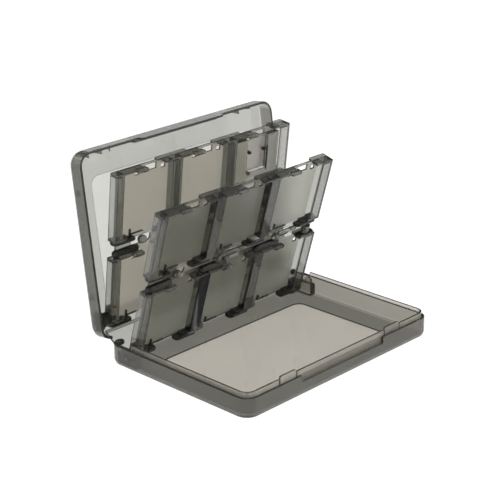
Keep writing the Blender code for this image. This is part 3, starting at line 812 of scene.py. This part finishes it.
@dataclass
class PocketLeaf:
    """A pocket leaf: web, walls, posts and catches in two rows of three.

    Places across are from the leaf's middle, and end pieces and bars rise from the top of the
    lower row. Each of the spans has a left and a right end.
    """

    body: Body
    slot: str
    place: Place
    start: float
    row: float = 36.3
    gap: float = 9.2
    web_front: float = 1.6
    web_back: float = 2.6
    posts: tuple[Pair, ...] = ((-23.67, -17.27), (15.27, 21.67))
    right_wall: float = 54.2
    skin: float = 1.0
    # Shares of painted shade: on walls, posts, the right wall's flanks, faces that look down and
    # tops.
    wall_shade: float = 0.12
    post_shade: float = 1.0
    flank_shade: float = 0.2
    foot_shade: float = 0.9
    cap_shade: float = 0.35
    lobes: tuple[float, ...] = (-53.5, -25.5, 13.3, 52.6)
    lobe: Slab = Slab(Lie.LEVEL, half=(7.6, 2.55), radius=2.55, thickness=1.6, edge=0.6)
    lobe_drop: float = 1.2
    nibs: tuple[float, ...] = (-48.2, -9.7, 29.8)
    nib: Slab = Slab(Lie.FACING, half=(0.55, 1.7), radius=0.5, thickness=1.1, edge=0.3)
    ledge: Slab = Slab(Lie.FACING, half=(4.4, 0.35), radius=0.3, thickness=1.1, edge=0.3)
    nib_back: float = 1.0
    arms: tuple[Pair, ...] = ((-60.5, -43.5), (-24.5, -5.5), (14.5, 33.5))
    arm: Bar = Bar(rise=2.3, back=-0.5, radius=1.9)
    end_foot: Slab = Slab(Lie.LEVEL, half=(6.4, 2.1), radius=2.1, thickness=1.4, edge=0.5)
    end_foot_place: Triple = (54.6, 0.4, -0.4)
    rods: tuple[float, ...] = (-40.7, -12.3, 30.5)
    rod: Bar = Bar(rise=5.4, back=-0.3, radius=2.2)
    rod_half: float = 2.6
    ties: tuple[Pair, ...] = ((-10.0, 7.0), (33.0, 47.0))
    tie: Bar = Bar(rise=6.2, back=0.2, radius=1.2)
    end_rod: Slab = Slab(Lie.LEVEL, half=(2.6, 1.8), radius=1.8, thickness=4.2, edge=0.4)
    end_rod_place: Triple = (54.8, 3.4, -0.4)

    def rows(self) -> tuple[Pair, Pair]:
        """Give the low and high ends of the two rows."""
        second = self.start + self.row + self.gap
        return (self.start, self.start + self.row), (second, second + self.row)

    def over_row(self, across: float, rise: float, back: float) -> Triple:
        """Give the place at a rise over the top of the lower row."""
        return across, self.rows()[0][1] + rise, back

    def marks(self, centres: Points, normals: Points) -> tuple[Points, Points]:
        """Frost the pockets' web, paint shade on posts and feet, and leave the rest polished.

        The flanks of the right wall and the caps over the rows get less painted shade, and the
        outside of the right wall none.

        Args:
            centres: Local face centres.
            normals: Local face normals.

        Returns:
            The grain and the share of painted shade of each face.
        """
        grains = np.full(len(centres), Grain.POLISHED.value)
        shades = np.full(len(centres), self.wall_shade)
        across, up, back = centres.T
        faces_out = np.abs(normals[:, 2]) > SQUARE_ON
        on_web = (back > self.web_front - NEAR) & (back < self.web_back + NEAR)
        in_row = np.zeros(len(centres), bool)
        for low, high in self.rows():
            in_row |= (up > low) & (up < high)
        in_post = np.zeros(len(centres), bool)
        for left, right in self.posts:
            in_post |= (across > left - NEAR) & (across < right + NEAR)
        wall_outside = self.right_wall + self.skin
        is_flank = (across > self.right_wall - NEAR) & (across < wall_outside + NEAR)
        # Painted shade: posts, the right wall's flanks, faces that look down and faces that look
        # up.
        shades[in_post & ~on_web] = self.post_shade
        shades[across > wall_outside] = 0.0
        shades[is_flank & (np.abs(normals[:, 0]) > SQUARE_ON)] = self.flank_shade
        shades[normals[:, 1] < -SQUARE_ON] = self.foot_shade
        shades[normals[:, 1] > SQUARE_ON] = self.cap_shade
        web = faces_out & on_web & in_row
        grains[web] = Grain.FROSTED.value
        shades[web] = 0.0
        return grains, shades

    def add_bar(self, surface: Surface, bar: Bar, middle: float, half: float) -> None:
        """Add a bar across the gap between the rows."""
        surface.add_capsule(self.over_row(middle, bar.rise, bar.back), half, bar.radius)

    def build_catches(self, dark: bpy.types.Material) -> None:
        """Build the lobes under the posts, the nibs and ledges, and the arms over the gap.

        Args:
            dark: A darker copy of the plastic, whose dark tint is painted shade.
        """
        catches = Surface()
        for low, _ in self.rows():
            for across in self.lobes:
                catches.add_slab(self.lobe, (across, low - self.lobe_drop, 0.0))
            for across in self.nibs:
                catches.add_slab(self.nib, (across, low + self.nib.half[1], self.nib_back))
                catches.add_slab(self.ledge, (across + self.ledge.half[0],
                                              low + self.ledge.half[1], self.nib_back))
        for left, right in self.arms:
            self.add_bar(catches, self.arm, (left + right) / 2, (right - left) / 2)
        catches.add_slab(self.end_foot, self.over_row(*self.end_foot_place))
        catches.make_piece(f"{self.body.value}_catches", self.place, self.body, dark)

    def build_rods(self, pale: bpy.types.Material) -> None:
        """Build the pale rods and ties that cross the gap between the rows.

        Args:
            pale: A paler copy of the plastic, whose pale tint is painted light.
        """
        rods = Surface()
        for across in self.rods:
            self.add_bar(rods, self.rod, across, self.rod_half)
        for left, right in self.ties:
            self.add_bar(rods, self.tie, (left + right) / 2, (right - left) / 2)
        rods.add_slab(self.end_rod, self.over_row(*self.end_rod_place))
        rods.make_piece(f"{self.body.value}_rods", self.place, self.body, pale)

    def build(self, nodes: dict, smoke: bpy.types.Material, dark: bpy.types.Material,
              pale: bpy.types.Material) -> None:
        """Build the leaf's pieces.

        Args:
            nodes: The frame's solids by name.
            smoke: The smoke-tinted plastic.
            dark: A darker copy of the plastic, whose dark tint is painted shade.
            pale: A paler copy of the plastic, whose pale tint is painted light.
        """
        (_, low_end), (high_start, _) = self.rows()
        Moulding(self.body.value, self.body, self.slot, smoke, self.place, self.marks,
                 (low_end, high_start)).build(nodes)
        self.build_catches(dark)
        self.build_rods(pale)


@dataclass
class Carrier:
    """The memory card carrier in the rear leaf's top right pocket, with its small catches."""

    place: Place
    # The least share of painted shade on the carrier's rounded edges.
    edge_shade: float = 0.5
    nubs: tuple[Pair, ...] = ((32.7, 67.9), (44.2, 67.4), (32.8, 55.9))
    nub: Slab = Slab(Lie.FACING, half=(0.9, 0.8), radius=0.4, thickness=2.5, edge=0.2)
    nub_back: float = -0.65
    rib: Slab = Slab(Lie.FACING, half=(0.45, 7.0), radius=0.3, thickness=0.7, edge=0.2)
    rib_place: Triple = (45.8, 62.4, -1.7)

    def build(self, nodes: dict, clear: bpy.types.Material, dark: bpy.types.Material) -> None:
        """Build the carrier and its catches.

        Args:
            nodes: The frame's solids by name.
            clear: The thin clear plastic.
            dark: A darker copy of the plastic, whose dark tint is painted shade.
        """
        Moulding("memory_card_carrier", Body.REAR_LEAF, "smoke_carrier", clear, self.place,
                 plain_marks(Grain.POLISHED, 0.0), edge_shade=self.edge_shade).build(nodes)
        catches = Surface()
        for across, up in self.nubs:
            catches.add_slab(self.nub, (across, up, self.nub_back))
        catches.add_slab(self.rib, self.rib_place)
        catches.make_piece("carrier_catches", self.place, Body.REAR_LEAF, dark)


@dataclass(frozen=True)
class SoftPanel:
    """A square light that looks at the origin: place and size in metres, power in watts."""

    name: str
    place: Triple
    power: float
    size: float = 0.8

    def build(self) -> None:
        """Hang the light and turn it to the origin."""
        light = bpy.data.lights.new(self.name, "AREA")
        light.shape = "SQUARE"
        light.size = self.size
        light.energy = self.power
        lamp = bpy.data.objects.new(self.name, light)
        lamp.location = self.place
        lamp.rotation_euler = (-Vector(self.place)).to_track_quat("-Z", "Y").to_euler()
        bpy.context.scene.collection.objects.link(lamp)


@dataclass
class Studio:
    """A glowing pale table, soft light and the camera at the photograph's view.

    Places are in metres and angles in degrees; the lens and the sensor are in millimetres. The
    wall's top and the ceiling's start are given by the direction in which one looks up to them,
    from 0, level, to 1, overhead.
    """

    camera_place: Triple = (-0.5163, -0.48635, 0.3260)
    azimuth: float = -45.849
    elevation: float = 21.009
    roll: float = -0.645
    lens: float = 109.76
    sensor: float = 36.0
    far: float = 20.0
    white: str = "FFFFFF"
    floor_colour: str = "6E6E6E"
    floor_half: float = 3.0
    floor_level: float = -0.0002
    floor_glow: float = 1.05
    floor_roughness: float = 0.9
    wall_top: float = 0.12
    ceiling_start: float = 0.3
    ceiling_light: float = 0.05
    panels: tuple[SoftPanel, ...] = (
        SoftPanel("key_panel", place=(-0.6, -0.3, 1.1), power=6.0),
        SoftPanel("fill_panel", place=(0.9, -0.7, 0.7), power=3.0),
    )

    def build_camera(self) -> None:
        """Place the camera and make it the scene's own.

        Its back looks out from the object by azimuth and elevation, right is level and square
        to it, and the roll turns right and up about it.
        """
        turn, tilt, twist = (math.radians(angle)
                             for angle in (self.azimuth, self.elevation, self.roll))
        back = Vector((math.sin(turn) * math.cos(tilt), -math.cos(turn) * math.cos(tilt),
                       math.sin(tilt)))
        right = (-back).cross(Vector((0.0, 0.0, 1.0))).normalized()
        up = back.cross(right)
        right, up = (math.cos(twist) * right + math.sin(twist) * up,
                     math.cos(twist) * up - math.sin(twist) * right)
        lens = bpy.data.cameras.new("camera")
        lens.lens = self.lens
        lens.sensor_width = self.sensor
        lens.clip_end = self.far
        camera = bpy.data.objects.new("camera", lens)
        camera.matrix_world = Matrix((
            (right.x, up.x, back.x, self.camera_place[0]),
            (right.y, up.y, back.y, self.camera_place[1]),
            (right.z, up.z, back.z, self.camera_place[2]),
            (0.0, 0.0, 0.0, 1.0),
        ))
        bpy.context.scene.collection.objects.link(camera)
        bpy.context.scene.camera = camera

    def build_floor(self) -> None:
        """Lay a large table of opal acrylic, lit from below, just under the case."""
        half, level = self.floor_half, self.floor_level
        mesh = bpy.data.meshes.new("floor")
        mesh.from_pydata([(-half, -half, level), (half, -half, level), (half, half, level),
                          (-half, half, level)], [], [(0, 1, 2, 3)])
        floor = bpy.data.objects.new("floor", mesh)
        bpy.context.scene.collection.objects.link(floor)
        material = bpy.data.materials.new("opal_light_table")
        material.use_nodes = True
        shader = material.node_tree.nodes["Principled BSDF"]
        shader.inputs["Base Color"].default_value = linear_colour(self.floor_colour)
        shader.inputs["Roughness"].default_value = self.floor_roughness
        shader.inputs["Specular IOR Level"].default_value = 0.0
        shader.inputs["Emission Color"].default_value = linear_colour(self.white)
        shader.inputs["Emission Strength"].default_value = self.floor_glow
        mesh.materials.append(material)

    def build_light(self) -> None:
        """Light the scene with a pale wall all round, a dim ceiling and soft panels."""
        world = bpy.data.worlds.new("studio")
        world.use_nodes = True
        tree = world.node_tree
        background = tree.nodes["Background"]
        background.inputs["Color"].default_value = linear_colour(self.white)
        sight = add_node(tree, "ShaderNodeTexCoord")
        height = add_node(tree, "ShaderNodeSeparateXYZ", links={0: sight.outputs["Generated"]})
        shade = add_node(tree, "ShaderNodeMapRange",
                         {"From Min": self.wall_top, "From Max": self.ceiling_start,
                          "To Min": 1.0, "To Max": self.ceiling_light},
                         {"Value": height.outputs["Z"]})
        tree.links.new(shade.outputs["Result"], background.inputs["Strength"])
        bpy.context.scene.world = world
        for panel in self.panels:
            panel.build()
        bpy.context.scene.view_settings.view_transform = "Standard"

    def build(self) -> None:
        """Build the camera, floor and light."""
        self.build_camera()
        self.build_floor()
        self.build_light()


def axis_place(frame: dict, joint: str) -> Triple:
    """Give the place of a joint's axis at rest."""
    found = next(row for row in frame["joints"] if row["name"] == joint)
    return tuple(found["pos_m"])


def main() -> None:
    """Load the frame, dress each piece and set up the studio."""
    logging.basicConfig(level=logging.INFO)
    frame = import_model()
    nodes = frame["nodes"]
    # It is one plastic, and its dye darkens a piece by its thickness. A darker copy adds painted
    # shade and a paler copy painted light, for the small pieces. The shells and the rear leaf
    # hold less dye than the front leaf, because they look paler.
    smoke = SmokedPolystyrene("smoked_polystyrene").build()
    # A darker copy whose dark tint is painted shade, for the floor bead, catches, knuckles,
    # bosses and pins.
    dark = SmokedPolystyrene("smoked_polystyrene_shaded", density=700.0, shine=0.15,
                             polished_tint="7C7C74", polished_roughness=0.2).build()
    # A paler copy whose pale tint is painted light, for the rods and ties between the rows.
    pale = SmokedPolystyrene("smoked_polystyrene_lit", density=200.0, shine=0.25,
                             polished_tint="C8C8C0", polished_roughness=0.2).build()
    clear = SmokedPolystyrene("smoked_polystyrene_carrier", density=110.0).build()
    shell_density = 330.0
    # The spine's share of painted shade.
    spine_shade = 0.2
    tray = Tray()
    tray_smoke = SmokedPolystyrene("smoked_polystyrene_tray", tray.window(),
                                   density=shell_density, frosted_tint="FFF2E2").build()
    tray.build(nodes, tray_smoke, dark)
    Moulding("spine", Body.SPINE, "smoke_spine", smoke, Place(),
             plain_marks(Grain.POLISHED, spine_shade)).build(nodes)
    lid = Lid(Place(axis_place(frame, "lid_hinge"), LID_LEAN),
              axis_place(frame, "rear_leaf_pivot"))
    lid_smoke = SmokedPolystyrene("smoked_polystyrene_lid", lid.window(),
                                  density=shell_density).build()
    lid.build(nodes, lid_smoke, dark)
    front_place = Place(axis_place(frame, "front_leaf_pivot"), FRONT_LEAF_LEAN)
    front_leaf = PocketLeaf(Body.FRONT_LEAF, "smoke_front_leaf", front_place, FRONT_LEAF_START)
    front_leaf.build(nodes, smoke, dark, pale)
    rear_smoke = SmokedPolystyrene("smoked_polystyrene_rear_leaf", density=shell_density,
                                   frosted_tint="FFF8EE").build()
    rear_place = Place(axis_place(frame, "rear_leaf_pivot"), REAR_LEAF_LEAN)
    rear_leaf = PocketLeaf(Body.REAR_LEAF, "smoke_rear_leaf", rear_place, REAR_LEAF_START,
                           wall_shade=0.35)
    rear_leaf.build(nodes, rear_smoke, dark, pale)
    Carrier(rear_place).build(nodes, clear, dark)
    # The pins take the darker copy, with its painted shade.
    for name in PINS:
        nodes[name].data.materials.clear()
        nodes[name].data.materials.append(dark)
        LOG.info("finished %s", name)
    Studio().build()


if __name__ == "__main__":
    main()
